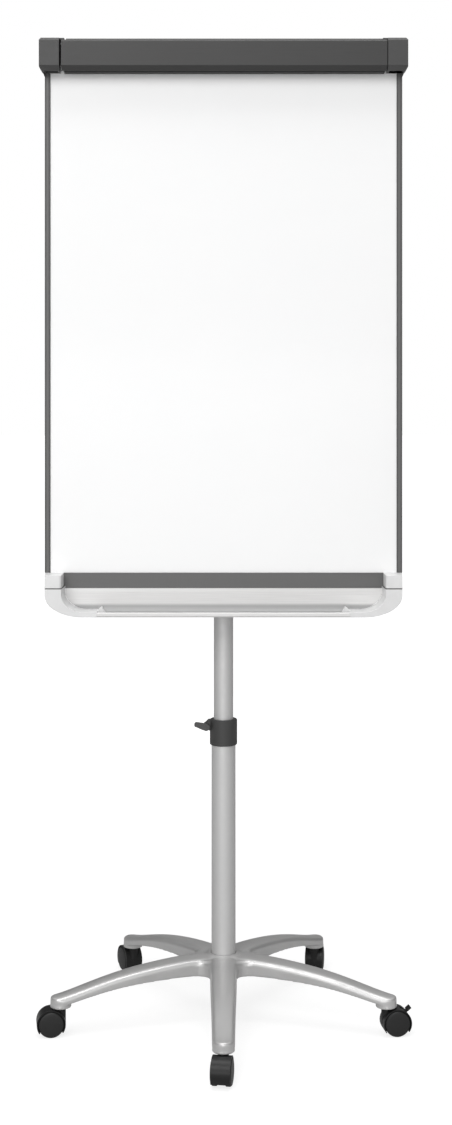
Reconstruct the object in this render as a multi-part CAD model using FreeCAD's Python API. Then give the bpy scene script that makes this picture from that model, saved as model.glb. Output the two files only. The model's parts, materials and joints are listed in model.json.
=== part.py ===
"""Flipchart easel on a five-leg base with twin-wheel casters.

Millimetres, +Z up. The origin is on the floor, in the middle of the easel's plan.
The writing side faces -Y. Everything is drawn about the pole's axis and is moved
back by POLE_Y as it is saved.
"""
import FreeCAD, Part
import math
import os
from FreeCAD import Vector

# ---- driving dimensions --------------------------------------------------------------

POLE_Y = 28.0
RUNNING_GAP = 0.05
PAST = 1.0          # how far a cutting tool runs past the face that it cuts
FAR = 100.0         # long enough to run right through any piece near the tool

# base star: each leg section is distance from the pole, half width, top and bottom height
LEG_COUNT = 5
FIRST_LEG_ANGLE = 270.0
LEG_SECTIONS = ((28, 25.0, 113.0, 81.0), (92, 23.0, 110.8, 83.0), (153, 22.0, 103.5, 80.0),
                (209, 20.5, 93.0, 73.0), (270, 19.2, 77.0, 60.0), (318, 18.3, 67.0, 52.0))
LEG_SHOULDER_R = 9.0
LEG_CROWN = 1.0
LEG_WALL = 3.5
LEG_RIB = 3.0
LEG_RIB_LAP = 1.0
LEG_HOLLOW_PAST = 12.0
INSIDE_CORNER_R = 20.0
INSIDE_CORNER_TOP_Z = 111.0
CASTER_CIRCLE_R = 297.0
TIP_R = 18.0
TIP_TOP_Z = 70.5
TIP_EDGE_R = 7.0
TIP_BOTTOM_Z = 48.5
TIP_BEAD = 1.0
TIP_BEAD_HEIGHT = 4.0
HUB_TOP_Z = 115.5
HUB_BOTTOM_Z = 76.0
HUB_CROWN = ((38.0, 108.5), (32.0, 112.5), (25.0, HUB_TOP_Z))     # radius and height
TUBE_SEAT_Z = 84.0
HUB_BOLT_R = 4.0
HUB_BOLT_HOLE_R = 4.2
HUB_BOLT_FLATS = 13.0
HUB_BOLT_HEAD = 5.3
WASHER_R = 15.0
WASHER_RECESS_R = 16.5
WASHER_UNDER_Z = 76.6
WASHER_TOP_Z = 79.0

# casters, with the wheels trailing along +X from the stem
CASTER_NAMES = ("front", "front_right", "rear_right", "rear_left", "front_left")
TRAIL_ANGLES = {"front": 262.0, "front_right": 8.6, "rear_right": 83.0,
                "rear_left": 115.0, "front_left": 188.0}
BRAKED_CASTER = "front_right"
TRAIL = 17.0
WHEEL_R = 22.5
WHEEL_INNER_Y = 7.0
WHEEL_OUTER_Y = 18.4
WHEEL_CLEARANCE = 0.7
WHEEL_BLIND_Y = 14.8
# the wheel's outline, in radius and y: inner face, tread and outer face
WHEEL_RECESS = ((8.0, WHEEL_INNER_Y), (9.5, 8.2), (18.0, 8.2), (19.5, WHEEL_INNER_Y))
WHEEL_TREAD = ((21.6, WHEEL_INNER_Y), (22.5, 7.9), (22.5, 14.2), (21.9, 15.2))
WHEEL_DOME = ((21.4, 15.9), (20.6, 16.9), (18.0, 17.5), (13.0, 18.0), (7.0, 18.3), (0, WHEEL_OUTER_Y))
AXLE_R = 3.0
AXLE_HALF_Y = 14.4
STEM_R = 5.0
STEM_BOTTOM_Z = 22.0
STEM_TOP_Z = 60.5
SOCKET_R = 7.0
SOCKET_FLANGE_R = 9.0
SOCKET_FLANGE = 0.6
SOCKET_END_GAP = 0.5
HOOD_R = 25.0
HOOD_HALF_WIDTH = 16.0
HOOD_ARCH_FROM = -35.0
HOOD_ARCH_TO = 215.0
HOOD_LAP = 0.3
HOOD_WEB_HALF = 6.2
HOOD_WEB_BOTTOM_Z = 8.2
HOOD_BOSS_R = 8.8
HOOD_BOSS_EDGE = 1.0
HOOD_BOSS_BOTTOM_Z = 20.0
HOOD_TOP_Z = 47.4
BRAKE_HALF_Y = 4.0
BRAKE_SLOT_FROM_R = 11.0
BRAKE_SLOT_HALF_Y = 4.5
BRAKE_SLOT_ANGLES = (18.0, 74.0)
BRAKE_PIN_R = 1.6
BRAKE_PIN_HALF_Y = 5.2
BRAKE_PIVOT_R = 16.5
BRAKE_PIVOT_ANGLE = 52.0
BRAKE_EYE_R = 3.4
BRAKE_TAB_ANGLE = 40.0
# the brake's arm and foot tab: from and to along their length, then from and to across it
BRAKE_ARM = (15.5, 31.5, 0.6, 3.8)
BRAKE_TAB = (26.5, 35.5, 1.2, 4.6)
BRAKE_TAB_HALF_Y = 6.5

# telescopic pole
LOWER_TUBE_R = 21.5
LOWER_TUBE_TOP_Z = 500.0
UPPER_TUBE_R = 17.5
UPPER_TUBE_BOTTOM_Z = 285.0
UPPER_TUBE_TOP_Z = 1480.0
TUBE_WALL = 2.0
PLUG_HEIGHT = 16.0
BUSH_LEAD = 3.0      # height of the tapered start of every bush and plug
BUSH_FLANGE = 3.0
TUBE_CAP_DEPTH = 16.0
TUBE_CAP_HEIGHT = 4.0
GUIDE_BUSH_LENGTH = 45.0
FOOT_BUSH_GAP = 0.2
FOOT_BUSH_SKIRT = 15.0
FOOT_BUSH_SPIGOT = 27.0
FOOT_BUSH_BORE_R = 8.0

# height clamp
COLLAR_R = 24.5
COLLAR_BOTTOM_Z = 486.0
COLLAR_TOP_Z = 532.0
COLLAR_EDGE = 1.5
COLLAR_BORE_GAP = 0.3
COLLAR_SPLIT = 2.4
COLLAR_SPLIT_Z = 508.0
EAR_HALF_Y = 8.0
EAR_NOSE_R = 5.5
EAR_BOTTOM_Z = 511.0
EAR_ROOT_X = -20.0
EAR_TOP_X = -27.0
EAR_NOSE_X = -34.0
CLAMP_AXIS_X = -31.0
CLAMP_AXIS_Z = 519.0
CLAMP_BOLT_R = 3.0
CLAMP_NUT_FLATS = 10.0
CLAMP_NUT_HEIGHT = 4.8
CLAMP_BOLT_PROUD = 1.2
CLAMP_BOLT_IN_LEVER = 7.0
LEVER_HUB_R = 6.2
LEVER_THICK = 8.7
LEVER_GAP = 0.3
LEVER_REACH = 17.0
LEVER_RISE = 4.5
LEVER_TIP_R = 4.2

# board: enamelled face, filling and back sheet in a frame of channels
FACE_Y = -45.0
FACE_SHEET = 0.8
CORE = 10.0
BACK_SHEET = 0.5
BACK_FACE_Y = FACE_Y + FACE_SHEET + CORE + BACK_SHEET
BOARD_HALF_X = 311.5
BOARD_BOTTOM_Z = 788.0
BOARD_TOP_Z = 1727.0
FRAME_HALF_X = 315.0
RAIL_WIDTH = 10.0
RAIL_FRONT_Y = -47.0
RAIL_BACK_Y = -30.0
RAIL_BOTTOM_Z = 797.5
RAIL_TOP_Z = 1700.0
GROOVE_WIDTH = 0.8
GROOVE_DEPTH = 0.7
GROOVE_FROM_INNER = 1.6
GROOVE_FROM_OUTER = 2.4
BOTTOM_RAIL_PROUD = 3.5
BOTTOM_RAIL_Z = 770.5
BOTTOM_RAIL_SHELF_Z = 785.0
TOP_RAIL_LIP_Z = 1692.0
TOP_RAIL_BACK_Z = 1712.0

# brackets between the board's back and the pole
BRACKET_ZS = {"lower_bracket": 880.0, "upper_bracket": 1420.0}
BRACKET_PLATE = 3.0
BRACKET_HALF_X = 68.0
BRACKET_HALF_Z = 32.0
RING_WALL = 4.0
RING_HALF_Z = 24.0
CHEEK_PLATE_X = 19.5
CHEEK_PLATE_HALF = 2.0
CHEEK_PLATE_END_Y = -6.0
BOARD_SCREW_R = 2.0
BOARD_SCREW_DEPTH = 9.0
BOARD_SCREW_X = 52.0
BOARD_SCREW_Z = 20.0
BOARD_SCREW_HEAD = 2.4
SET_SCREW_R = 2.5
SET_SCREW_HEAD_R = 4.6
SET_SCREW_HEAD = 3.8

# head: two fixed end caps and the hinged pad clamp between them
HEAD_HALF_X = 322.0
HEAD_FRONT_Y = -79.0
HEAD_TOP_Z = 1733.0
HEAD_BOTTOM_Z = 1677.0
HEAD_EDGE = 5.0
BEVEL_TOP_Z = 1685.5
BEVEL_DEPTH = 7.0
CAP_INNER_X = 287.0
CAP_PROUD = 1.3
CAP_FRONT_PROUD = 1.0
CAP_CHAMFER_X = 5.0
CAP_CHAMFER_Z = 1683.0
CAP_FOOT_Z = 1671.0
CAP_WALL = 3.0
CAP_UPPER_CHAMFER_X = 3.0
CAP_UPPER_CHAMFER_Z = 4.0
TAB_REACH = 8.5
TAB_BOTTOM_Z = 1731.5
TAB_HALF_Y = 16.5
TAB_GAP = 0.3
NOTCH_BOTTOM_Z = 1720.0
CLAMP_LEFT_X = -283.5
CLAMP_RIGHT_X = 286.0
CLAMP_MIDDLE_X = (CLAMP_LEFT_X + CLAMP_RIGHT_X) / 2
CLAMP_HALF_X = (CLAMP_RIGHT_X - CLAMP_LEFT_X) / 2
CLAMP_WALL = 3.0
HINGE_Y = -57.0
HINGE_Z = 1727.0
HINGE_PIN_R = 2.0
HINGE_PIN_IN_CAP = 14.0
HINGE_PIN_IN_BAR = 36.0
BARREL_R = 6.0
SPRING_LENGTH = 18.0
SPRING_R = 4.3
SPRING_BORE_R = 2.5
SPRING_POCKET_R = 4.6
JAW_GAP = 5.0
JAW_UNDER_Z = 1684.0
GRIP_BOTTOM_Z = 1675.2
GRIP_TOP_Z = 1690.0
GRIP_DEPTH = 18.5
GRIP_WALL = 2.6
GRIP_EDGE = 1.0
GRIP_END = 4.0
PEG_R = 4.0
PEG_LENGTH = 18.0
PEG_EDGE = 1.5
PEG_HALF_SPACING = 228.6
PEG_Z = 1704.0

# tray
TRAY_FRONT_Y = -97.0
TRAY_BACK_Y = -45.0
TRAY_BOTTOM_Z = 724.7
TRAY_WALL = 3.0
TRAY_FLOOR_Z = 728.2
LIP_TOP_Z = 733.0
LIP_THICK = 3.0
COVE_START_Y = -60.0
COVE_START_Z = 741.0
TRAY_STEP_Z = 755.0
TRAY_FLANGE_TOP_Z = 784.5
TROUGH_HALF_X = 220.0
CHEEK_INNER_X = 281.5
CHEEK_FRONT_X = 310.0
CHEEK_BACK_X = 315.5
CHEEK_OUTER_CENTRE_Z = 762.0
CHEEK_OUTER_HALF_X = 65.0
CHEEK_INNER_CENTRE_Z = 764.0
CHEEK_INNER_HALF_X = 42.0
CHEEK_DRAFT = 2.0
SEAM_Z = 774.4
BLOCK_CHAMFER = 3.5
STOP_HEIGHT = 12.0
STOP_REACH = 14.0
STOP_DEPTH = 10.0
STOP_GAP = 0.3
WING_GAP = 0.5
TRAY_SCREW_R = 1.6
TRAY_SCREW_XS = (-250.0, -125.0, 0.0, 125.0, 250.0)
TRAY_SCREW_Z = 778.0
TRAY_SCREW_BITE = 2.2
TRAY_SCREW_HEAD = 2.0


# ---- small helpers -------------------------------------------------------------------

def box(x0, x1, y0, y1, z0, z1):
    return Part.makeBox(x1 - x0, y1 - y0, z1 - z0, Vector(x0, y0, z0))


def rod(radius, start, end):
    """A round bar from one point to another."""
    a = Vector(*start)
    along = Vector(*end) - a
    return Part.makeCylinder(radius, along.Length, a, along)


def tube(outer, inner, z0, z1):
    """A ring about the pole's axis."""
    return rod(outer, (0, 0, z0), (0, 0, z1)).cut(rod(inner, (0, 0, z0 - PAST), (0, 0, z1 + PAST)))


def polygon(points):
    return Part.Wire(Part.makePolygon([Vector(*p) for p in points + [points[0]]]))


def bar_x(outline, x0, x1):
    """A (y, z) outline drawn along X."""
    wire = polygon([(x0, y, z) for y, z in outline])
    return Part.Face(wire).extrude(Vector(x1 - x0, 0, 0))


def plate_y(outline, y0, y1):
    """An (x, z) outline drawn along Y."""
    wire = polygon([(x, y0, z) for x, z in outline])
    return Part.Face(wire).extrude(Vector(0, y1 - y0, 0))


def turned(outline, base=(0, 0, 0), axis=(0, 0, 1)):
    """A (radius, height) outline turned about Z, then laid along the given axis."""
    face = Part.Face(polygon([(r, 0, h) for r, h in outline]))
    solid = face.revolve(Vector(0, 0, 0), Vector(0, 0, 1), 360)
    turn = FreeCAD.Rotation(Vector(0, 0, 1), Vector(*axis))
    return solid.transformed(FreeCAD.Placement(Vector(*base), turn).toMatrix(), True)


def hexagon(across_flats, start, end):
    """A hexagonal prism along Z or Y."""
    a = Vector(*start)
    along = Vector(*end) - a
    corner_r = across_flats / math.sqrt(3)
    points = []
    for k in range(6):
        angle = math.radians(60 * k)
        points.append((corner_r * math.cos(angle), corner_r * math.sin(angle), 0))
    prism = Part.Face(polygon(points)).extrude(Vector(0, 0, along.Length))
    turn = FreeCAD.Rotation(Vector(0, 0, 1), along)
    return prism.transformed(FreeCAD.Placement(a, turn).toMatrix(), True)


def joined(shapes):
    """One solid from touching or overlapping shapes."""
    whole = shapes[0].multiFuse(shapes[1:])
    return whole.removeSplitter()


def mirrored(shape):
    return shape.mirror(Vector(0, 0, 0), Vector(1, 0, 0))


def shifted(shape, x, y, z):
    moved = shape.copy()
    moved.translate(Vector(x, y, z))
    return moved


def quarter_turn(centre_a, centre_b, half_a, half_b, steps):
    """Points of a quarter ellipse, from its side (+half_a) round to its end (+half_b)."""
    points = []
    for k in range(steps + 1):
        angle = math.radians(90.0 * k / steps)
        points.append((centre_a + half_a * math.cos(angle), centre_b + half_b * math.sin(angle)))
    return points


def screw_head(radius, height, base):
    """A low domed head that sits on a face looking along +Y."""
    dome = [(0, 0), (radius, 0), (0.9 * radius, 0.65 * height), (0.5 * radius, height), (0, height)]
    return turned(dome, base, (0, 1, 0))


def save(name, shape):
    moved = shifted(shape, 0, POLE_Y, 0)
    for solid in moved.Solids:
        if not solid.isValid():
            print("not valid:", name)
    print("%-24s %3d solids %10.1f mm3" % (name, len(moved.Solids), moved.Volume))
    moved.exportStep("parts/%s.step" % name)


# ---- base ----------------------------------------------------------------------------

def leg_angle(number):
    return FIRST_LEG_ANGLE + 360.0 / LEG_COUNT * number


def leg_section(distance, half_width, top, bottom):
    """An arch across the leg: two sides, two rounded shoulders and a slightly crowned top."""
    inset = LEG_SHOULDER_R * (1 - math.sqrt(0.5))
    shoulder_z = top - LEG_CROWN
    side_top = shoulder_z - LEG_SHOULDER_R
    flat = half_width - LEG_SHOULDER_R
    left_foot = Vector(distance, -half_width, bottom)
    left_side = Vector(distance, -half_width, side_top)
    left_mid = Vector(distance, inset - half_width, shoulder_z - inset)
    left_top = Vector(distance, -flat, shoulder_z)
    right_top = Vector(distance, flat, shoulder_z)
    right_mid = Vector(distance, half_width - inset, shoulder_z - inset)
    right_side = Vector(distance, half_width, side_top)
    right_foot = Vector(distance, half_width, bottom)
    edges = [Part.makeLine(left_foot, left_side),
             Part.Arc(left_side, left_mid, left_top).toShape(),
             Part.Arc(left_top, Vector(distance, 0, top), right_top).toShape(),
             Part.Arc(right_top, right_mid, right_side).toShape(),
             Part.makeLine(right_side, right_foot),
             Part.makeLine(right_foot, left_foot)]
    return Part.Wire(edges)


def leg():
    """One leg along +X with a hollow, ribbed underside and a solid round tip."""
    outer = Part.makeLoft([leg_section(*row) for row in LEG_SECTIONS], True, False)
    straight = box(0, CASTER_CIRCLE_R, -FAR, FAR, 0, 2 * FAR)
    edge_z = TIP_TOP_Z - TIP_EDGE_R
    rounding = quarter_turn(TIP_R - TIP_EDGE_R, edge_z, TIP_EDGE_R, TIP_EDGE_R, 5)
    rounded_end = turned([(0, 0), (TIP_R, 0)] + rounding + [(0, TIP_TOP_Z)], (CASTER_CIRCLE_R, 0, 0))
    outer = outer.common(straight.fuse(rounded_end))
    hollow_rows = []
    for distance, half_width, top, bottom in LEG_SECTIONS[:-1]:
        hollow_top = top - LEG_WALL - LEG_CROWN
        hollow_rows.append((distance, half_width - LEG_WALL, hollow_top, bottom - LEG_HOLLOW_PAST))
    hollow = Part.makeLoft([leg_section(*row) for row in hollow_rows], True, False)
    bead_r = TIP_R + TIP_BEAD
    bead_top = TIP_BOTTOM_Z + TIP_BEAD_HEIGHT
    boss = turned([(0, TIP_BOTTOM_Z), (TIP_R, TIP_BOTTOM_Z), (bead_r, TIP_BOTTOM_Z + TIP_BEAD),
                   (bead_r, bead_top - TIP_BEAD), (TIP_R, bead_top), (TIP_R, edge_z), (0, edge_z)],
                  (CASTER_CIRCLE_R, 0, 0))
    ribs = []
    for distance, half_width, top, bottom in LEG_SECTIONS[1:4]:
        rib_outline = leg_section(distance - LEG_RIB / 2, half_width - LEG_RIB_LAP,
                                  top - 2 * LEG_RIB_LAP, bottom + LEG_RIB)
        ribs.append(Part.Face(rib_outline).extrude(Vector(LEG_RIB, 0, 0)))
    return joined([outer.cut(hollow), boss] + ribs)


def inside_corner():
    """Fills the corner between two legs, whose middle line is +X, with a round inside."""
    half_step = math.radians(180.0 / LEG_COUNT)
    half_width = (LEG_SECTIONS[0][1] + LEG_SECTIONS[1][1]) / 2
    in_wall = half_width - LEG_WALL / 2
    centre_x = (half_width + INSIDE_CORNER_R) / math.sin(half_step)
    along = centre_x * math.cos(half_step)
    end_x = along * math.cos(half_step) + in_wall * math.sin(half_step)
    end_y = along * math.sin(half_step) - in_wall * math.cos(half_step)
    bottom = LEG_SECTIONS[1][3]
    wedge = polygon([(in_wall / math.sin(half_step), 0, bottom), (end_x, -end_y, bottom),
                     (end_x, end_y, bottom)])
    filler = Part.Face(wedge).extrude(Vector(0, 0, INSIDE_CORNER_TOP_Z - bottom))
    flare = quarter_turn(INSIDE_CORNER_R + LEG_SHOULDER_R, INSIDE_CORNER_TOP_Z - LEG_SHOULDER_R,
                         -LEG_SHOULDER_R, LEG_SHOULDER_R, 5)
    tool = turned([(0, 0), (INSIDE_CORNER_R, 0)] + flare + [(0, INSIDE_CORNER_TOP_Z)], (centre_x, 0, 0))
    return filler.cut(tool)


def base_star():
    hub = turned([(0, HUB_BOTTOM_Z), (HUB_CROWN[0][0], HUB_BOTTOM_Z)] + list(HUB_CROWN) + [(0, HUB_TOP_Z)])
    pieces = [hub]
    for k in range(LEG_COUNT):
        for piece, angle in ((leg(), leg_angle(k)), (inside_corner(), leg_angle(k + 0.5))):
            piece.rotate(Vector(0, 0, 0), Vector(0, 0, 1), angle)
            pieces.append(piece)
    star = joined(pieces)
    star = star.cut(rod(LOWER_TUBE_R, (0, 0, TUBE_SEAT_Z), (0, 0, HUB_TOP_Z + PAST)))
    star = star.cut(rod(HUB_BOLT_HOLE_R, (0, 0, 0), (0, 0, TUBE_SEAT_Z + PAST)))
    star = star.cut(rod(WASHER_RECESS_R, (0, 0, 0), (0, 0, WASHER_TOP_Z)))
    for x, y in caster_places().values():
        star = star.cut(rod(SOCKET_R, (x, y, 0), (x, y, STEM_TOP_Z + SOCKET_END_GAP)))
    return star


def caster_places():
    places = {}
    for k, name in enumerate(CASTER_NAMES):
        angle = math.radians(leg_angle(k))
        places[name] = (CASTER_CIRCLE_R * math.cos(angle), CASTER_CIRCLE_R * math.sin(angle))
    return places


def hub_washer():
    return turned([(HUB_BOLT_HOLE_R, WASHER_UNDER_Z), (WASHER_R, WASHER_UNDER_Z), (WASHER_R, WASHER_TOP_Z),
                   (HUB_BOLT_HOLE_R, WASHER_TOP_Z)])


def hub_bolt():
    head = hexagon(HUB_BOLT_FLATS, (0, 0, WASHER_UNDER_Z - HUB_BOLT_HEAD), (0, 0, WASHER_UNDER_Z))
    end_z = TUBE_SEAT_Z + PLUG_HEIGHT - BUSH_LEAD
    return head.fuse(rod(HUB_BOLT_R, (0, 0, WASHER_UNDER_Z), (0, 0, end_z)))


def lower_tube_plug():
    """A threaded plug in the tube's foot that the hub bolt pulls down."""
    outer = LOWER_TUBE_R - TUBE_WALL - 2 * RUNNING_GAP
    top = TUBE_SEAT_Z + PLUG_HEIGHT
    return turned([(HUB_BOLT_R, TUBE_SEAT_Z), (outer, TUBE_SEAT_Z), (outer, top - BUSH_LEAD),
                   (outer - BUSH_LEAD, top), (HUB_BOLT_R, top)])


# ---- casters -------------------------------------------------------------------------

def wheel_axis(radius, half_y):
    """A round bar about the wheels' axis."""
    return rod(radius, (TRAIL, -half_y, WHEEL_R), (TRAIL, half_y, WHEEL_R))


def band_y(inner, outer, start, end, half_y):
    """A stretch of a ring about the wheels' axis, between two angles in degrees."""
    def at(radius, degrees):
        angle = math.radians(degrees)
        return Vector(TRAIL + radius * math.cos(angle), -half_y, WHEEL_R + radius * math.sin(angle))

    middle = (start + end) / 2
    edges = [Part.Arc(at(outer, start), at(outer, middle), at(outer, end)).toShape(),
             Part.makeLine(at(outer, end), at(inner, end)),
             Part.Arc(at(inner, end), at(inner, middle), at(inner, start)).toShape(),
             Part.makeLine(at(inner, start), at(outer, start))]
    return Part.Face(Part.Wire(edges)).extrude(Vector(0, 2 * half_y, 0))


def caster_hood(braked):
    """An arched guard over both wheels, a web between them and a boss for the stem."""
    inner = WHEEL_R + WHEEL_CLEARANCE
    arch = band_y(inner, HOOD_R, HOOD_ARCH_FROM, HOOD_ARCH_TO, HOOD_HALF_WIDTH)
    web = wheel_axis(HOOD_R - HOOD_LAP, HOOD_WEB_HALF)
    web = web.common(box(-FAR, FAR, -FAR, FAR, HOOD_WEB_BOTTOM_Z, FAR))
    boss = turned([(0, HOOD_BOSS_BOTTOM_Z), (HOOD_BOSS_R, HOOD_BOSS_BOTTOM_Z),
                   (HOOD_BOSS_R, HOOD_TOP_Z - HOOD_BOSS_EDGE), (HOOD_BOSS_R - HOOD_BOSS_EDGE, HOOD_TOP_Z),
                   (0, HOOD_TOP_Z)])
    for y0, y1 in ((HOOD_LAP - HOOD_WEB_HALF, -FAR), (HOOD_WEB_HALF - HOOD_LAP, FAR)):
        boss = boss.cut(rod(inner + HOOD_LAP, (TRAIL, y0, WHEEL_R), (TRAIL, y1, WHEEL_R)))
    hood = joined([arch, web, boss])
    hood = hood.cut(rod(STEM_R + RUNNING_GAP, (0, 0, STEM_BOTTOM_Z - PAST), (0, 0, FAR)))
    hood = hood.cut(wheel_axis(AXLE_R, FAR))
    if braked:
        hood = hood.cut(band_y(BRAKE_SLOT_FROM_R, HOOD_R + PAST, *BRAKE_SLOT_ANGLES, BRAKE_SLOT_HALF_Y))
        hood = hood.cut(brake_pin())
    return hood


def caster_axle():
    return wheel_axis(AXLE_R, AXLE_HALF_Y)


def caster_wheel(side):
    """A wheel with a rounded tread and a plain, slightly domed outer face."""
    bore = AXLE_R + RUNNING_GAP
    outline = [(bore, WHEEL_INNER_Y)] + list(WHEEL_RECESS + WHEEL_TREAD + WHEEL_DOME)
    outline += [(0, WHEEL_BLIND_Y), (bore, WHEEL_BLIND_Y)]
    return turned(outline, (TRAIL, 0, WHEEL_R), (0, side, 0))


def brake_pivot():
    angle = math.radians(BRAKE_PIVOT_ANGLE)
    return TRAIL + BRAKE_PIVOT_R * math.cos(angle), WHEEL_R + BRAKE_PIVOT_R * math.sin(angle)


def brake_pin():
    x, z = brake_pivot()
    return rod(BRAKE_PIN_R, (x, -BRAKE_PIN_HALF_Y, z), (x, BRAKE_PIN_HALF_Y, z))


def radial_block(r0, r1, t0, t1, half_y):
    """A block that points away from the axle towards the brake tab, from r0 to r1."""
    angle = math.radians(BRAKE_TAB_ANGLE)
    points = []
    for r, t in ((r0, t0), (r1, t0), (r1, t1), (r0, t1)):
        points.append((TRAIL + r * math.cos(angle) - t * math.sin(angle),
                       WHEEL_R + r * math.sin(angle) + t * math.cos(angle)))
    return plate_y(points, -half_y, half_y)


def brake_lever():
    """A short arm out of the hood's slot with a square foot tab at its end."""
    x, z = brake_pivot()
    eye = rod(BRAKE_EYE_R, (x, -BRAKE_HALF_Y, z), (x, BRAKE_HALF_Y, z))
    arm = radial_block(*BRAKE_ARM, BRAKE_HALF_Y)
    tab = radial_block(*BRAKE_TAB, BRAKE_TAB_HALF_Y)
    hole = rod(BRAKE_PIN_R + RUNNING_GAP, (x, -FAR, z), (x, FAR, z))
    return joined([eye, arm, tab]).cut(hole)


def placed_caster(shape, name):
    """Turn a caster piece to its trail direction and put it under its leg."""
    x, y = caster_places()[name]
    turned_piece = shape.copy()
    turned_piece.rotate(Vector(0, 0, 0), Vector(0, 0, 1), TRAIL_ANGLES[name])
    return shifted(turned_piece, x, y, 0)


def under_every_leg(shape):
    return Part.makeCompound([shifted(shape, x, y, 0) for x, y in caster_places().values()])


def caster_stems():
    return under_every_leg(rod(STEM_R, (0, 0, STEM_BOTTOM_Z), (0, 0, STEM_TOP_Z)))


def caster_sockets():
    flange_z = TIP_BOTTOM_Z - SOCKET_FLANGE
    return under_every_leg(turned([(STEM_R, flange_z), (SOCKET_FLANGE_R, flange_z),
                                   (SOCKET_FLANGE_R, TIP_BOTTOM_Z), (SOCKET_R, TIP_BOTTOM_Z),
                                   (SOCKET_R, STEM_TOP_Z), (STEM_R, STEM_TOP_Z)]))


# ---- pole and height clamp -----------------------------------------------------------

def lower_tube():
    return tube(LOWER_TUBE_R, LOWER_TUBE_R - TUBE_WALL, TUBE_SEAT_Z, LOWER_TUBE_TOP_Z)


def guide_bush():
    """Lines the lower tube's mouth, with a flange on its rim."""
    bore = UPPER_TUBE_R + RUNNING_GAP
    outer = LOWER_TUBE_R - TUBE_WALL
    foot = LOWER_TUBE_TOP_Z - GUIDE_BUSH_LENGTH
    flange_top = LOWER_TUBE_TOP_Z + BUSH_FLANGE
    return turned([(bore, foot), (outer - 1, foot), (outer, foot + BUSH_LEAD), (outer, LOWER_TUBE_TOP_Z),
                   (LOWER_TUBE_R, LOWER_TUBE_TOP_Z), (LOWER_TUBE_R, flange_top), (bore, flange_top)])


def clamp_axis(radius, y0, y1):
    """A round bar about the clamp bolt's axis."""
    return rod(radius, (CLAMP_AXIS_X, y0, CLAMP_AXIS_Z), (CLAMP_AXIS_X, y1, CLAMP_AXIS_Z))


def height_collar():
    """A split collar with two ears on its left side, pinched by the clamp bolt."""
    body = turned([(0, COLLAR_BOTTOM_Z), (COLLAR_R - COLLAR_EDGE, COLLAR_BOTTOM_Z),
                   (COLLAR_R, COLLAR_BOTTOM_Z + COLLAR_EDGE), (COLLAR_R, COLLAR_TOP_Z - COLLAR_EDGE),
                   (COLLAR_R - COLLAR_EDGE, COLLAR_TOP_Z), (0, COLLAR_TOP_Z)])
    ear_top = COLLAR_TOP_Z - COLLAR_EDGE
    ears = plate_y([(CLAMP_AXIS_X, CLAMP_AXIS_Z - EAR_NOSE_R), (EAR_ROOT_X, EAR_BOTTOM_Z),
                    (EAR_ROOT_X, ear_top), (EAR_TOP_X, ear_top),
                    (EAR_NOSE_X, CLAMP_AXIS_Z + EAR_NOSE_R - 1)], -EAR_HALF_Y, EAR_HALF_Y)
    collar = joined([body, ears, clamp_axis(EAR_NOSE_R, -EAR_HALF_Y, EAR_HALF_Y)])
    below = COLLAR_BOTTOM_Z - PAST
    collar = collar.cut(rod(UPPER_TUBE_R + COLLAR_BORE_GAP, (0, 0, below), (0, 0, COLLAR_TOP_Z + PAST)))
    collar = collar.cut(rod(LOWER_TUBE_R, (0, 0, below), (0, 0, LOWER_TUBE_TOP_Z + BUSH_FLANGE)))
    split = box(-FAR, 0, -COLLAR_SPLIT / 2, COLLAR_SPLIT / 2, COLLAR_SPLIT_Z, COLLAR_TOP_Z + PAST)
    return collar.cut(split).cut(clamp_axis(CLAMP_BOLT_R + RUNNING_GAP, -FAR, FAR))


def clamp_bolt():
    front = -EAR_HALF_Y - CLAMP_BOLT_IN_LEVER
    return clamp_axis(CLAMP_BOLT_R, front, EAR_HALF_Y + CLAMP_NUT_HEIGHT + CLAMP_BOLT_PROUD)


def clamp_nut():
    nut = hexagon(CLAMP_NUT_FLATS, (CLAMP_AXIS_X, EAR_HALF_Y, CLAMP_AXIS_Z),
                  (CLAMP_AXIS_X, EAR_HALF_Y + CLAMP_NUT_HEIGHT, CLAMP_AXIS_Z))
    return nut.cut(clamp_axis(CLAMP_BOLT_R + RUNNING_GAP, -FAR, FAR))


def clamp_lever():
    """A hub on the bolt's end with a short flat paddle to the left."""
    back = -EAR_HALF_Y - LEVER_GAP
    front = back - LEVER_THICK
    arm_back = back - 1
    tip_x = CLAMP_AXIS_X - LEVER_REACH
    tip_z = CLAMP_AXIS_Z + LEVER_RISE
    hub = clamp_axis(LEVER_HUB_R, front, back)
    arm = plate_y([(CLAMP_AXIS_X, CLAMP_AXIS_Z - LEVER_HUB_R),
                   (CLAMP_AXIS_X - LEVER_HUB_R, CLAMP_AXIS_Z - LEVER_RISE),
                   (tip_x, tip_z - LEVER_TIP_R), (tip_x, tip_z + LEVER_TIP_R),
                   (CLAMP_AXIS_X, CLAMP_AXIS_Z + LEVER_HUB_R)], front, arm_back)
    end = rod(LEVER_TIP_R, (tip_x, front, tip_z), (tip_x, arm_back, tip_z))
    return joined([hub, arm, end]).cut(clamp_axis(CLAMP_BOLT_R, -EAR_HALF_Y - CLAMP_BOLT_IN_LEVER, 0))


def foot_bush():
    """Rides inside the lower tube; the upper tube stands and turns on its spigot."""
    seat = UPPER_TUBE_BOTTOM_Z - FOOT_BUSH_GAP
    foot = seat - FOOT_BUSH_SKIRT
    top = seat + FOOT_BUSH_SPIGOT
    runner = LOWER_TUBE_R - TUBE_WALL - 2 * RUNNING_GAP
    spigot = UPPER_TUBE_R - TUBE_WALL - RUNNING_GAP
    return turned([(FOOT_BUSH_BORE_R, foot), (runner - 1, foot), (runner, foot + BUSH_LEAD), (runner, seat),
                   (spigot, seat), (spigot, top - BUSH_LEAD), (spigot - 2, top), (FOOT_BUSH_BORE_R, top)])


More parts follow.
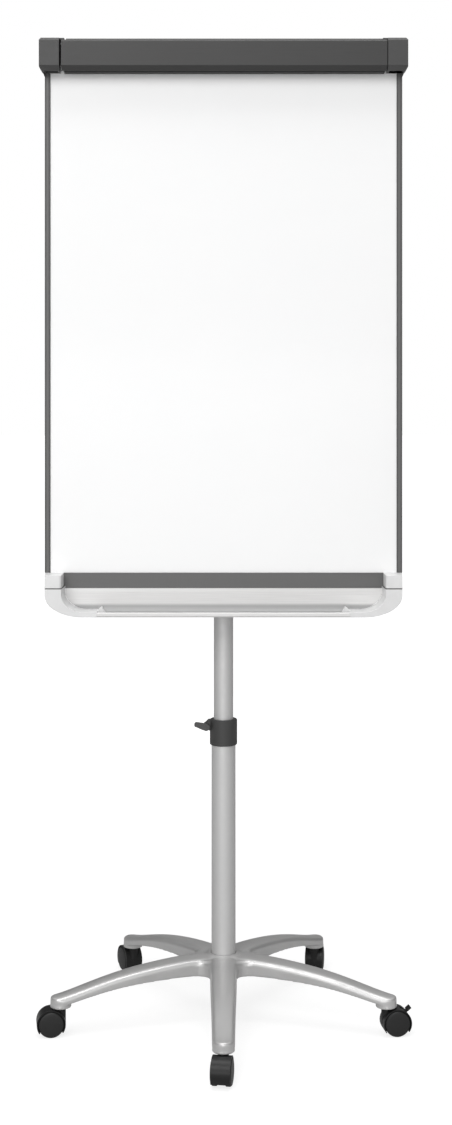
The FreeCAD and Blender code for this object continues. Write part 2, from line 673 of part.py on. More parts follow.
def upper_tube():
    return tube(UPPER_TUBE_R, UPPER_TUBE_R - TUBE_WALL, UPPER_TUBE_BOTTOM_Z, UPPER_TUBE_TOP_Z)


def upper_tube_cap():
    inner = UPPER_TUBE_R - TUBE_WALL
    z = UPPER_TUBE_TOP_Z
    foot = z - TUBE_CAP_DEPTH
    top = z + TUBE_CAP_HEIGHT
    return turned([(0, foot), (inner - 1, foot), (inner, foot + BUSH_LEAD), (inner, z),
                   (UPPER_TUBE_R, z), (UPPER_TUBE_R, top - 2), (UPPER_TUBE_R - 2, top), (0, top)])


# ---- board ---------------------------------------------------------------------------

def board_screw_places(z):
    return [(x, z + dz) for x in (-BOARD_SCREW_X, BOARD_SCREW_X) for dz in (-BOARD_SCREW_Z, BOARD_SCREW_Z)]


def board_layer(y0, y1):
    """One layer of the board, with the bracket screws' holes where they reach it."""
    layer = box(-BOARD_HALF_X, BOARD_HALF_X, y0, y1, BOARD_BOTTOM_Z, BOARD_TOP_Z)
    for z in BRACKET_ZS.values():
        for x, screw_z in board_screw_places(z):
            layer = layer.cut(rod(BOARD_SCREW_R, (x, BACK_FACE_Y - BOARD_SCREW_DEPTH, screw_z),
                                  (x, 0, screw_z)))
    return layer


def bracket(z):
    """A flat foot on the board's back with two cheeks and a ring that holds the pole."""
    plate_back = BACK_FACE_Y + BRACKET_PLATE
    ring_r = UPPER_TUBE_R + RING_WALL
    plate = box(-BRACKET_HALF_X, BRACKET_HALF_X, BACK_FACE_Y, plate_back,
                z - BRACKET_HALF_Z, z + BRACKET_HALF_Z)
    pieces = [plate, tube(ring_r, UPPER_TUBE_R, z - RING_HALF_Z, z + RING_HALF_Z)]
    for x in (-CHEEK_PLATE_X, CHEEK_PLATE_X):
        pieces.append(box(x - CHEEK_PLATE_HALF, x + CHEEK_PLATE_HALF, plate_back, CHEEK_PLATE_END_Y,
                          z - RING_HALF_Z, z + RING_HALF_Z))
    clamp = joined(pieces).cut(rod(UPPER_TUBE_R, (0, 0, z - FAR), (0, 0, z + FAR)))
    for x, screw_z in board_screw_places(z):
        clamp = clamp.cut(rod(BOARD_SCREW_R, (x, BACK_FACE_Y - PAST, screw_z), (x, 0, screw_z)))
    return clamp.cut(rod(SET_SCREW_R, (0, 0, z), (0, FAR, z)))


def bracket_screws():
    """Pan-head screws into the board and one set screw through each ring."""
    screws = []
    plate_back = BACK_FACE_Y + BRACKET_PLATE
    ring_y = UPPER_TUBE_R + RING_WALL
    for z in BRACKET_ZS.values():
        for x, screw_z in board_screw_places(z):
            shank = rod(BOARD_SCREW_R, (x, BACK_FACE_Y - BOARD_SCREW_DEPTH, screw_z),
                        (x, plate_back, screw_z))
            head = screw_head(2 * BOARD_SCREW_R, BOARD_SCREW_HEAD, (x, plate_back, screw_z))
            screws.append(shank.fuse(head))
        shank = rod(SET_SCREW_R, (0, UPPER_TUBE_R, z), (0, ring_y, z))
        screws.append(shank.fuse(screw_head(SET_SCREW_HEAD_R, SET_SCREW_HEAD, (0, ring_y, z))))
    return Part.makeCompound(screws)


def right_side_rail():
    """A channel that holds the board's edge, with two shallow grooves down its front."""
    inner_x = FRAME_HALF_X - RAIL_WIDTH
    rail = box(inner_x, FRAME_HALF_X, RAIL_FRONT_Y, RAIL_BACK_Y, RAIL_BOTTOM_Z, RAIL_TOP_Z)
    rail = rail.cut(box(inner_x - PAST, BOARD_HALF_X, FACE_Y, BACK_FACE_Y,
                        RAIL_BOTTOM_Z - PAST, RAIL_TOP_Z + PAST))
    for x in (inner_x + GROOVE_FROM_INNER, FRAME_HALF_X - GROOVE_FROM_OUTER):
        rail = rail.cut(box(x, x + GROOVE_WIDTH, RAIL_FRONT_Y - PAST, RAIL_FRONT_Y + GROOVE_DEPTH,
                            RAIL_BOTTOM_Z - PAST, RAIL_TOP_Z + PAST))
    return rail


def bottom_rail():
    """A channel under the board with a deep front skirt that the tray hangs from."""
    front = FACE_Y - BOTTOM_RAIL_PROUD
    outline = [(front, BOTTOM_RAIL_Z), (front, RAIL_BOTTOM_Z), (FACE_Y, RAIL_BOTTOM_Z),
               (FACE_Y, BOARD_BOTTOM_Z), (BACK_FACE_Y, BOARD_BOTTOM_Z), (BACK_FACE_Y, RAIL_BOTTOM_Z),
               (RAIL_BACK_Y, RAIL_BOTTOM_Z), (RAIL_BACK_Y, BOTTOM_RAIL_SHELF_Z),
               (FACE_Y, BOTTOM_RAIL_SHELF_Z), (FACE_Y, BOTTOM_RAIL_Z)]
    rail = bar_x(outline, -CHEEK_INNER_X, CHEEK_INNER_X)
    notch_x = CHEEK_INNER_X - CHEEK_DRAFT - WING_GAP
    room_for_cheek = box(notch_x, CHEEK_INNER_X + PAST, front - PAST, FACE_Y + PAST,
                         BOTTOM_RAIL_Z - PAST, SEAM_Z)
    rail = rail.cut(room_for_cheek).cut(mirrored(room_for_cheek))
    for x in TRAY_SCREW_XS:
        rail = rail.cut(tray_screw_hole(x))
    return rail


def top_rail():
    outline = [(RAIL_FRONT_Y, TOP_RAIL_LIP_Z), (RAIL_FRONT_Y, HEAD_TOP_Z), (RAIL_BACK_Y, HEAD_TOP_Z),
               (RAIL_BACK_Y, TOP_RAIL_BACK_Z), (BACK_FACE_Y, TOP_RAIL_BACK_Z), (BACK_FACE_Y, BOARD_TOP_Z),
               (FACE_Y, BOARD_TOP_Z), (FACE_Y, TOP_RAIL_LIP_Z)]
    return bar_x(outline, -CAP_INNER_X, CAP_INNER_X)


def pad_pegs():
    """Two turned pegs that pass through the punched holes of a paper pad."""
    outline = [(0, 0), (PEG_R, 0), (PEG_R, PEG_LENGTH - PEG_EDGE), (PEG_R - PEG_EDGE, PEG_LENGTH),
               (0, PEG_LENGTH)]
    pegs = []
    for x in (-PEG_HALF_SPACING, PEG_HALF_SPACING):
        pegs.append(turned(outline, (x, RAIL_FRONT_Y, PEG_Z), (0, -1, 0)))
    return Part.makeCompound(pegs)


# ---- head ----------------------------------------------------------------------------

def hinge_rod(radius, x0, x1):
    return rod(radius, (x0, HINGE_Y, HINGE_Z), (x1, HINGE_Y, HINGE_Z))


def clamp_ends(half_shape):
    """A piece of the clamp's right end and its twin at the left end."""
    return [shifted(half_shape, CLAMP_MIDDLE_X, 0, 0), shifted(mirrored(half_shape), CLAMP_MIDDLE_X, 0, 0)]


def head_cap_right():
    """A fixed end cap, bevelled like the clamp bar, whose tab covers the bar's end."""
    front = HEAD_FRONT_Y - CAP_FRONT_PROUD
    top = HEAD_TOP_Z + CAP_PROUD
    outline = [(RAIL_BACK_Y, top), (front + HEAD_EDGE, top), (front, top - HEAD_EDGE),
               (front, BEVEL_TOP_Z), (front + BEVEL_DEPTH, HEAD_BOTTOM_Z), (RAIL_FRONT_Y, HEAD_BOTTOM_Z),
               (RAIL_FRONT_Y, RAIL_TOP_Z), (RAIL_BACK_Y, RAIL_TOP_Z)]
    cap = bar_x(outline, CAP_INNER_X, HEAD_HALF_X)
    outside = HEAD_HALF_X + PAST
    foot_x = HEAD_HALF_X - CAP_CHAMFER_X
    chamfer = plate_y([(outside, CAP_CHAMFER_Z), (HEAD_HALF_X, CAP_CHAMFER_Z), (foot_x, HEAD_BOTTOM_Z),
                       (foot_x, HEAD_BOTTOM_Z - PAST), (outside, HEAD_BOTTOM_Z - PAST)],
                      front - PAST, RAIL_BACK_Y + PAST)
    chamfer_z = top - CAP_UPPER_CHAMFER_Z
    chamfer_x = HEAD_HALF_X - CAP_UPPER_CHAMFER_X
    upper_corner = plate_y([(outside, chamfer_z), (HEAD_HALF_X, chamfer_z), (chamfer_x, top),
                            (chamfer_x, top + PAST), (outside, top + PAST)],
                           front - PAST, RAIL_BACK_Y + PAST)
    hollow = box(CAP_INNER_X + CAP_WALL, FRAME_HALF_X - CAP_WALL, front + BEVEL_DEPTH + CAP_WALL,
                 RAIL_FRONT_Y - CAP_WALL, HEAD_BOTTOM_Z - PAST, RAIL_TOP_Z)
    cap = cap.cut(chamfer).cut(upper_corner).cut(hollow)
    foot = plate_y([(HEAD_HALF_X, RAIL_TOP_Z), (FRAME_HALF_X, RAIL_TOP_Z), (FRAME_HALF_X, CAP_FOOT_Z),
                    (foot_x, HEAD_BOTTOM_Z), (HEAD_HALF_X, CAP_CHAMFER_Z)],
                   HINGE_Y, RAIL_BACK_Y)
    tab = box(CAP_INNER_X - TAB_REACH, CAP_INNER_X + PAST, HINGE_Y - TAB_HALF_Y, HINGE_Y + TAB_HALF_Y,
              TAB_BOTTOM_Z, top)
    tab = tab.cut(box(0, CAP_INNER_X, RAIL_FRONT_Y - TAB_GAP, 0, TAB_BOTTOM_Z - PAST, top + PAST))
    board = box(0, BOARD_HALF_X, FACE_Y, BACK_FACE_Y, BOARD_BOTTOM_Z, BOARD_TOP_Z)
    cap = joined([cap, foot, tab]).cut(board)
    return cap.cut(hinge_rod(HINGE_PIN_R, CAP_INNER_X - PAST, CAP_INNER_X + HINGE_PIN_IN_CAP))


def pad_clamp_bar():
    """A hollow bar: front wall, top wall with the hinge barrel, and a jaw below."""
    front = HEAD_FRONT_Y
    wall = CLAMP_WALL
    jaw_end = FACE_Y - JAW_GAP - GRIP_WALL
    outline = [(HINGE_Y, HEAD_TOP_Z), (front + HEAD_EDGE, HEAD_TOP_Z), (front, HEAD_TOP_Z - HEAD_EDGE),
               (front, BEVEL_TOP_Z), (front + BEVEL_DEPTH, HEAD_BOTTOM_Z),
               (front + BEVEL_DEPTH + wall, HEAD_BOTTOM_Z), (front + BEVEL_DEPTH + wall, JAW_UNDER_Z),
               (jaw_end, JAW_UNDER_Z), (jaw_end, JAW_UNDER_Z + wall), (front + wall, JAW_UNDER_Z + wall),
               (front + wall, HEAD_TOP_Z - 2 * wall), (front + 2 * wall, HEAD_TOP_Z - wall),
               (HINGE_Y, HEAD_TOP_Z - wall)]
    bar = joined([bar_x(outline, -CLAMP_HALF_X, CLAMP_HALF_X),
                  hinge_rod(BARREL_R, -CLAMP_HALF_X, CLAMP_HALF_X)])
    bar = bar.cut(hinge_rod(HINGE_PIN_R + RUNNING_GAP, -CLAMP_HALF_X - PAST, CLAMP_HALF_X + PAST))
    bar = shifted(bar, CLAMP_MIDDLE_X, 0, 0)
    notch_x = CLAMP_HALF_X - TAB_REACH
    notch = box(notch_x, CLAMP_HALF_X + PAST, front + wall, 0, NOTCH_BOTTOM_Z, HEAD_TOP_Z + PAST)
    spring_pocket = hinge_rod(SPRING_POCKET_R, notch_x - SPRING_LENGTH - PAST, notch_x + PAST)
    for tool in clamp_ends(notch) + clamp_ends(spring_pocket):
        bar = bar.cut(tool)
    return bar


def clamp_grip_strip():
    """The black rubber sole of the jaw: a front web, a sole and an upturned gripping lip."""
    back = FACE_Y - JAW_GAP
    front = back - GRIP_DEPTH
    sole = GRIP_BOTTOM_Z + GRIP_WALL
    edge = GRIP_EDGE
    outline = [(front, JAW_UNDER_Z), (front, GRIP_BOTTOM_Z + edge), (front + edge, GRIP_BOTTOM_Z),
               (back - edge, GRIP_BOTTOM_Z), (back, GRIP_BOTTOM_Z + edge), (back, GRIP_TOP_Z - edge),
               (back - edge, GRIP_TOP_Z), (back - GRIP_WALL, GRIP_TOP_Z), (back - GRIP_WALL, sole),
               (front + GRIP_WALL, sole), (front + GRIP_WALL, JAW_UNDER_Z)]
    strip = bar_x(outline, GRIP_END - CLAMP_HALF_X, CLAMP_HALF_X - GRIP_END)
    return shifted(strip, CLAMP_MIDDLE_X, 0, 0)


def clamp_hinge_pins():
    pin = hinge_rod(HINGE_PIN_R, CLAMP_HALF_X - HINGE_PIN_IN_BAR, CAP_INNER_X + HINGE_PIN_IN_CAP)
    return Part.makeCompound([pin, mirrored(pin)])


def clamp_springs():
    """Each torsion spring, drawn as a plain sleeve round its hinge pin."""
    end_x = CLAMP_HALF_X - TAB_REACH - PAST
    spring = hinge_rod(SPRING_R, end_x - SPRING_LENGTH + PAST, end_x)
    spring = spring.cut(hinge_rod(SPRING_BORE_R, end_x - FAR, end_x + PAST))
    return Part.makeCompound(clamp_ends(spring))


# ---- tray ----------------------------------------------------------------------------

def tray_screw_hole(x):
    return rod(TRAY_SCREW_R, (x, FACE_Y - TRAY_SCREW_BITE, TRAY_SCREW_Z), (x, RAIL_BACK_Y, TRAY_SCREW_Z))


def cheek_inside(inner_x):
    """The cheek's inner curve, from its side down to the tray's floor."""
    curve = quarter_turn(inner_x - CHEEK_INNER_HALF_X, CHEEK_INNER_CENTRE_Z, CHEEK_INNER_HALF_X,
                         LIP_TOP_Z - CHEEK_INNER_CENTRE_Z, 14)
    return [(inner_x, SEAM_Z)] + curve


def tray_trough():
    """The extruded middle, and the back wall's two stretches behind the cheeks."""
    front = TRAY_FRONT_Y
    wall_y = TRAY_BACK_Y - TRAY_WALL
    flange_y = TRAY_BACK_Y + TRAY_WALL
    cove = quarter_turn(COVE_START_Y, COVE_START_Z, wall_y - COVE_START_Y, TRAY_FLOOR_Z - COVE_START_Z, 8)
    outline = [(wall_y, BOTTOM_RAIL_Z)] + cove + [
        (front + 2 * LIP_THICK, TRAY_FLOOR_Z), (front + LIP_THICK + 1, LIP_TOP_Z - 2),
        (front + LIP_THICK, LIP_TOP_Z), (front + 1, LIP_TOP_Z), (front, LIP_TOP_Z - 1.2),
        (front, TRAY_BOTTOM_Z + 2), (front + 2, TRAY_BOTTOM_Z), (COVE_START_Y + 4, TRAY_BOTTOM_Z),
        (TRAY_BACK_Y - 4, TRAY_BOTTOM_Z + 2.3), (TRAY_BACK_Y, LIP_TOP_Z), (TRAY_BACK_Y, TRAY_STEP_Z),
        (flange_y, TRAY_STEP_Z + TRAY_WALL), (flange_y, TRAY_FLANGE_TOP_Z),
        (TRAY_BACK_Y, TRAY_FLANGE_TOP_Z), (TRAY_BACK_Y, BOTTOM_RAIL_Z)]
    pieces = [bar_x(outline, -TROUGH_HALF_X, TROUGH_HALF_X)]
    wing_x = CHEEK_INNER_X - CHEEK_DRAFT - WING_GAP
    curve = [(x, z + WING_GAP) for x, z in cheek_inside(wing_x)[1:-1]]
    wing = plate_y([(TROUGH_HALF_X, BOTTOM_RAIL_Z), (wing_x, BOTTOM_RAIL_Z)] + curve
                   + [(TROUGH_HALF_X, curve[-1][1])], wall_y, TRAY_BACK_Y)
    wing_flange = box(TROUGH_HALF_X, wing_x, TRAY_BACK_Y, flange_y,
                      TRAY_STEP_Z + TRAY_WALL, TRAY_FLANGE_TOP_Z)
    for piece in (wing, wing_flange):
        pieces += [piece, mirrored(piece)]
    tray = joined(pieces)
    for x in TRAY_SCREW_XS:
        tray = tray.cut(tray_screw_hole(x))
    return tray


def cheek_wire(y, outer_x, inner_x):
    """The cheek's outline: down the outside, round under, back along and up the inside."""
    outside = quarter_turn(outer_x - CHEEK_OUTER_HALF_X, CHEEK_OUTER_CENTRE_Z, CHEEK_OUTER_HALF_X,
                           TRAY_BOTTOM_Z - CHEEK_OUTER_CENTRE_Z, 14)
    inside = cheek_inside(inner_x)
    points = [(outer_x, SEAM_Z)] + outside + [(TROUGH_HALF_X, TRAY_BOTTOM_Z), (TROUGH_HALF_X, LIP_TOP_Z)]
    return polygon([(x, y, z) for x, z in points + inside[::-1]])


def tray_end_right():
    """A curved, slightly drafted cheek that closes the tray, with a small ramped stop."""
    cheek = Part.makeLoft([cheek_wire(TRAY_FRONT_Y, CHEEK_FRONT_X, CHEEK_INNER_X),
                           cheek_wire(TRAY_BACK_Y, CHEEK_BACK_X, CHEEK_INNER_X - CHEEK_DRAFT)], True, True)
    under = TRAY_FLOOR_Z + STOP_GAP
    stop = plate_y([(TROUGH_HALF_X - STOP_REACH, under), (TROUGH_HALF_X + 2, under),
                    (TROUGH_HALF_X + 2, LIP_TOP_Z), (TROUGH_HALF_X - STOP_REACH / 2, under + STOP_HEIGHT)],
                   COVE_START_Y - STOP_DEPTH, COVE_START_Y - STOP_GAP)
    return joined([cheek, stop])


def corner_block_right():
    """The block above the cheek that ties the side rail to the bottom rail."""
    def rectangle(y, outer_x):
        return polygon([(outer_x, y, SEAM_Z), (outer_x, y, RAIL_BOTTOM_Z),
                        (CHEEK_INNER_X, y, RAIL_BOTTOM_Z), (CHEEK_INNER_X, y, SEAM_Z)])

    block = Part.makeLoft([rectangle(TRAY_FRONT_Y, CHEEK_FRONT_X), rectangle(RAIL_BACK_Y, CHEEK_BACK_X)],
                          True, True)
    chamfer = Part.Face(polygon([(CHEEK_INNER_X - 1, TRAY_FRONT_Y - 1, SEAM_Z - 1),
                                 (CHEEK_INNER_X + BLOCK_CHAMFER, TRAY_FRONT_Y - 1, SEAM_Z - 1),
                                 (CHEEK_INNER_X - 1, TRAY_FRONT_Y + BLOCK_CHAMFER, SEAM_Z - 1)]))
    board = box(0, BOARD_HALF_X, FACE_Y, BACK_FACE_Y, BOARD_BOTTOM_Z, BOARD_TOP_Z)
    return block.cut(chamfer.extrude(Vector(0, 0, FAR))).cut(board)


def tray_screws():
    """Small screws from behind that hold the tray's flange to the bottom rail."""
    screws = []
    head_y = TRAY_BACK_Y + TRAY_WALL
    for x in TRAY_SCREW_XS:
        shank = rod(TRAY_SCREW_R, (x, FACE_Y - TRAY_SCREW_BITE, TRAY_SCREW_Z), (x, head_y, TRAY_SCREW_Z))
        head = screw_head(2 * TRAY_SCREW_R, TRAY_SCREW_HEAD, (x, head_y, TRAY_SCREW_Z))
        screws.append(shank.fuse(head))
    return Part.makeCompound(screws)


# ---- write every node ----------------------------------------------------------------

def save_base():
    save("base_star", base_star())
    save("hub_washer", hub_washer())
    save("hub_bolt", hub_bolt())
    save("lower_tube_plug", lower_tube_plug())
    save("caster_stems", caster_stems())
    save("caster_sockets", caster_sockets())


def save_casters():
    for name in CASTER_NAMES:
        save("caster_hood_" + name, placed_caster(caster_hood(name == BRAKED_CASTER), name))
        save("caster_axle_" + name, placed_caster(caster_axle(), name))
        save("caster_wheel_%s_a" % name, placed_caster(caster_wheel(1), name))
        save("caster_wheel_%s_b" % name, placed_caster(caster_wheel(-1), name))
    save("brake_lever", placed_caster(brake_lever(), BRAKED_CASTER))
    save("brake_pin", placed_caster(brake_pin(), BRAKED_CASTER))


def save_pole():
    for piece in (lower_tube, guide_bush, height_collar, clamp_bolt, clamp_nut, clamp_lever,
                  foot_bush, upper_tube, upper_tube_cap):
        save(piece.__name__, piece())


def save_board():
    for name, z in BRACKET_ZS.items():
        save(name, bracket(z))
    filling_y = FACE_Y + FACE_SHEET
    save("whiteboard_face", board_layer(FACE_Y, filling_y))
    save("board_core", board_layer(filling_y, filling_y + CORE))
    save("board_back_sheet", board_layer(filling_y + CORE, BACK_FACE_Y))
    save("right_side_rail", right_side_rail())
    save("left_side_rail", mirrored(right_side_rail()))
    for piece in (bracket_screws, bottom_rail, top_rail, pad_pegs):
        save(piece.__name__, piece())


def save_head():
    save("head_cap_right", head_cap_right())
    save("head_cap_left", mirrored(head_cap_right()))
    for piece in (pad_clamp_bar, clamp_grip_strip, clamp_hinge_pins, clamp_springs):
        save(piece.__name__, piece())


def save_tray():
    save("tray_end_right", tray_end_right())
    save("tray_end_left", mirrored(tray_end_right()))
    save("corner_block_right", corner_block_right())
    save("corner_block_left", mirrored(corner_block_right()))
    save("tray_trough", tray_trough())
    save("tray_screws", tray_screws())


os.makedirs("parts", exist_ok=True)
save_base()
save_casters()
save_pole()
save_board()
save_head()
save_tray()
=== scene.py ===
"""The looks of the flipchart easel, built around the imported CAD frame. Metres throughout."""
import json
import math

import bmesh
import bpy
from mathutils import Matrix, Vector


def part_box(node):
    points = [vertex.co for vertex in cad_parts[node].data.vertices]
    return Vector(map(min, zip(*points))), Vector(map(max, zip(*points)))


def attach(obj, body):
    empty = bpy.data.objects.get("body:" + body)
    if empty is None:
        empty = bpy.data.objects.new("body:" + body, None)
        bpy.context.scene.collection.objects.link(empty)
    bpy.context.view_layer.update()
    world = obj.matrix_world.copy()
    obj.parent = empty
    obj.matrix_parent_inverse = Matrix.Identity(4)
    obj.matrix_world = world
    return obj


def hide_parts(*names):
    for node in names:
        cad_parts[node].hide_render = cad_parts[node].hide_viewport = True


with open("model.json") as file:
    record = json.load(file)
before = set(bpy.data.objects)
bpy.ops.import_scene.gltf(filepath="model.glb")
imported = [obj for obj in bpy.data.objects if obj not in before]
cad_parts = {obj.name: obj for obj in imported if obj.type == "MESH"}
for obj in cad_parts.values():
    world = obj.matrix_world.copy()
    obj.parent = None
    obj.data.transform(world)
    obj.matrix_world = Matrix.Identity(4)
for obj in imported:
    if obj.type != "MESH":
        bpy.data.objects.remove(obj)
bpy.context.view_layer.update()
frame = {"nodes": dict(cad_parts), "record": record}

MM = 0.001
RECORD = frame["record"]
SLOT_OF = {part["node"]: part["material_slot"] for part in RECORD["subparts"]}
BODY_OF = {}
for body_name, members in RECORD["behaviour"]["bodies"].items():
    for member in members:
        BODY_OF[member] = body_name

# camera: level, straight in front of the pole
CAMERA_DISTANCE = 3.067
CAMERA_HEIGHT = 1.092
CAMERA_LENS = 54.85
CAMERA_SENSOR = 36
CAMERA_SHIFT = (0.0022, -0.1395)

# floor: pale paint whose own glow hides all shadow but the softest, under the object
FLOOR_RADIUS = 60
FLOOR_GLOW = (0.80, 1.0)            # near the object and away from it
FLOOR_GLOW_REACH = (0.6, 2.4)       # where the first ends and the second begins
FLOOR_GLOW_ON_OBJECT = 0.28         # share of the glow that lights the object

# world: strength of the dark sides, of the bright front and of the bright top
DARK_SKY = 0.10
FRONT_SKY = 1.25
TOP_SKY = 1.0

# lights: place, what they point at, width and height, power
MIDDLE = (0, 0, 0.9)
LIGHTS = {
    "key": ((-1.3, -3.0, 3.2), MIDDLE, (2.0, 1.6), 44),
    "low_front": ((-0.5, -3.6, 0.7), (0, 0, 0.8), (2.4, 1.2), 15),
    "top": ((0, -0.5, 4.2), MIDDLE, (2.6, 1.6), 50),
    "back": ((0.6, 3.4, 1.3), MIDDLE, (2.4, 1.8), 2.5),
}

# finished copies: how far each one's edges are rounded, in mm
EDGE_ROUNDING = {
    "left_side_rail": 0.35, "right_side_rail": 0.35, "bottom_rail": 0.5, "top_rail": 0.5,
    "head_cap_left": 1.2, "head_cap_right": 1.2, "pad_clamp_bar": 0.6, "tray_trough": 0.6,
    "tray_end_left": 0.9, "tray_end_right": 0.9, "corner_block_left": 0.7, "corner_block_right": 0.7,
    "height_collar": 0.7, "clamp_lever": 1.6, "brake_lever": 0.5, "clamp_grip_strip": 0.4,
    "lower_bracket": 0.8, "upper_bracket": 0.8, "upper_tube_cap": 0.8, "guide_bush": 0.4,
}
CASTERS = ("front", "front_right", "rear_right", "rear_left", "front_left")
HOOD_ROUNDING = 0.9
WHEEL_ROUNDING = 0.35
ROUNDING_SEGMENTS = 3
ROUNDED_FROM_ANGLE = 30             # degrees between two faces
SHARP_FROM_ANGLE = 40

# the base's casting: grain of its new skin in mm, and how often its corners are smoothed
STAR_VOXEL = 1.4
STAR_SMOOTHING = 20

# tray: the band of painted shade in the cove behind the lip, measured back and up from the lip's lower
# front edge, in mm
SHADE_FROM_LIP = (0, 27, 9.5)
SHADE_HEIGHT = (5, 10)               # half its height where it is full, and where it ends
SHADE_DEPTH = (22, 23.5)
SEAM_SHADE_HEIGHT = (0.7, 1.3)            # the same for the painted shade line in the joint between tray end and corner block


# ---- camera ----------------------------------------------------------------------------

def add_camera():
    low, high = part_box("upper_tube")
    data = bpy.data.cameras.new("camera")
    camera = bpy.data.objects.new("camera", data)
    bpy.context.scene.collection.objects.link(camera)
    camera.location = ((low.x + high.x) / 2, (low.y + high.y) / 2 - CAMERA_DISTANCE, CAMERA_HEIGHT)
    camera.rotation_euler = (math.radians(90), 0, 0)
    data.lens = CAMERA_LENS
    data.sensor_width = CAMERA_SENSOR
    data.shift_x, data.shift_y = CAMERA_SHIFT
    bpy.context.scene.camera = camera


# ---- node helpers ----------------------------------------------------------------------

class Nodes:
    """A short way to wire a material."""

    def __init__(self, name):
        self.material = bpy.data.materials.new(name)
        self.material.use_nodes = True
        self.tree = self.material.node_tree
        self.shader = self.tree.nodes["Principled BSDF"]
        coords = self.tree.nodes.new("ShaderNodeTexCoord")
        self.coords = coords.outputs["Object"]

    def noise(self, scale, detail=3.0, stretch=(1, 1, 1), roughness=0.5):
        mapping = self.tree.nodes.new("ShaderNodeMapping")
        mapping.inputs["Scale"].default_value = stretch
        self.tree.links.new(self.coords, mapping.inputs["Vector"])
        node = self.tree.nodes.new("ShaderNodeTexNoise")
        node.inputs["Scale"].default_value = scale
        node.inputs["Detail"].default_value = detail
        node.inputs["Roughness"].default_value = roughness
        self.tree.links.new(mapping.outputs["Vector"], node.inputs["Vector"])
        return node.outputs["Fac"]

    def spread(self, value, low, high, start=0.3, end=0.7):
        """A value that runs from start to end, turned into one that runs from low to high."""
        node = self.tree.nodes.new("ShaderNodeMapRange")
        node.inputs["From Min"].default_value = start
        node.inputs["From Max"].default_value = end
        node.inputs["To Min"].default_value = low
        node.inputs["To Max"].default_value = high
        self.tree.links.new(value, node.inputs["Value"])
        return node.outputs["Result"]

    def tint(self, factor, first, second):
        """A mix of two colours by a value from 0 to 1."""
        node = self.tree.nodes.new("ShaderNodeMix")
        node.data_type = "RGBA"
        self.tree.links.new(factor, node.inputs["Factor"])
        self.set_colour(node.inputs["A"], first)
        self.set_colour(node.inputs["B"], second)
        return node.outputs["Result"]

    def set_colour(self, socket, colour):
        if isinstance(colour, bpy.types.NodeSocket):
            self.tree.links.new(colour, socket)
        else:
            socket.default_value = (*colour, 1)

    def bump(self, height, distance):
        """Relief of the given depth in metres, on top of any that is there already."""
        node = self.tree.nodes.new("ShaderNodeBump")
        node.inputs["Strength"].default_value = 1.0
        node.inputs["Distance"].default_value = distance
        self.tree.links.new(height, node.inputs["Height"])
        previous = self.shader.inputs["Normal"].links
        if previous:
            self.tree.links.new(previous[0].from_socket, node.inputs["Normal"])
        self.tree.links.new(node.outputs["Normal"], self.shader.inputs["Normal"])

    def edges(self, low=0.52, high=0.6):
        """0 on flats, 1 on worn convex edges."""
        node = self.tree.nodes.new("ShaderNodeNewGeometry")
        return self.spread(node.outputs["Pointiness"], 0.0, 1.0, low, high)

    def product(self, first, second):
        node = self.tree.nodes.new("ShaderNodeMath")
        node.operation = "MULTIPLY"
        self.tree.links.new(first, node.inputs[0])
        self.tree.links.new(second, node.inputs[1])
        return node.outputs[0]

    def band(self, level, reach, axis="Z"):
        """1 near the given place along an axis, fading to 0 between the two distances of reach, in mm."""
        split = self.tree.nodes.new("ShaderNodeSeparateXYZ")
        self.tree.links.new(self.coords, split.inputs[0])
        gap = self.tree.nodes.new("ShaderNodeMath")
        gap.operation = "SUBTRACT"
        self.tree.links.new(split.outputs[axis], gap.inputs[0])
        gap.inputs[1].default_value = level
        size = self.tree.nodes.new("ShaderNodeMath")
        size.operation = "ABSOLUTE"
        self.tree.links.new(gap.outputs[0], size.inputs[0])
        return self.spread(size.outputs[0], 1.0, 0.0, reach[0] * MM, reach[1] * MM)

    def link(self, output, name):
        self.tree.links.new(output, self.shader.inputs[name])

    def set(self, **values):
        """Values that are the same all over, such as metallic=1.0 or specular_ior_level=0.3."""
        for name, value in values.items():
            socket = name.replace("_", " ").title().replace("Ior", "IOR")
            self.shader.inputs[socket].default_value = value


def grey(value, warm=0.0):
    return (value * (1 + warm), value, value * (1 - warm))


# ---- materials -------------------------------------------------------------------------

def painted_silver(name, tone, metallic, rough, along=(1, 1, 1), worn=(0.52, 0.6)):
    """Satin silver paint: soft cloudy tone, fine flake, faint orange peel, brighter edges."""
    n = Nodes(name)
    cloud = n.spread(n.noise(9, 4, along), 0, 1)
    flake = n.spread(n.noise(2600, 1), 0, 1, 0.35, 0.65)
    base = n.tint(cloud, grey(tone * 0.95, 0.004), grey(tone * 1.04, 0.008))
    base = n.tint(n.spread(flake, 0, 0.16, 0, 1), base, grey(min(tone * 1.35, 0.95)))
    base = n.tint(n.spread(n.edges(*worn), 0, 0.35, 0, 1), base, grey(min(tone * 1.3, 0.95)))
    n.link(base, "Base Color")
    n.set(metallic=metallic)
    n.link(n.spread(n.noise(60, 4), rough * 0.86, rough * 1.18), "Roughness")
    n.bump(n.noise(420, 2), 0.000006)
    n.bump(n.noise(2600, 1), 0.000003)
    return n.material


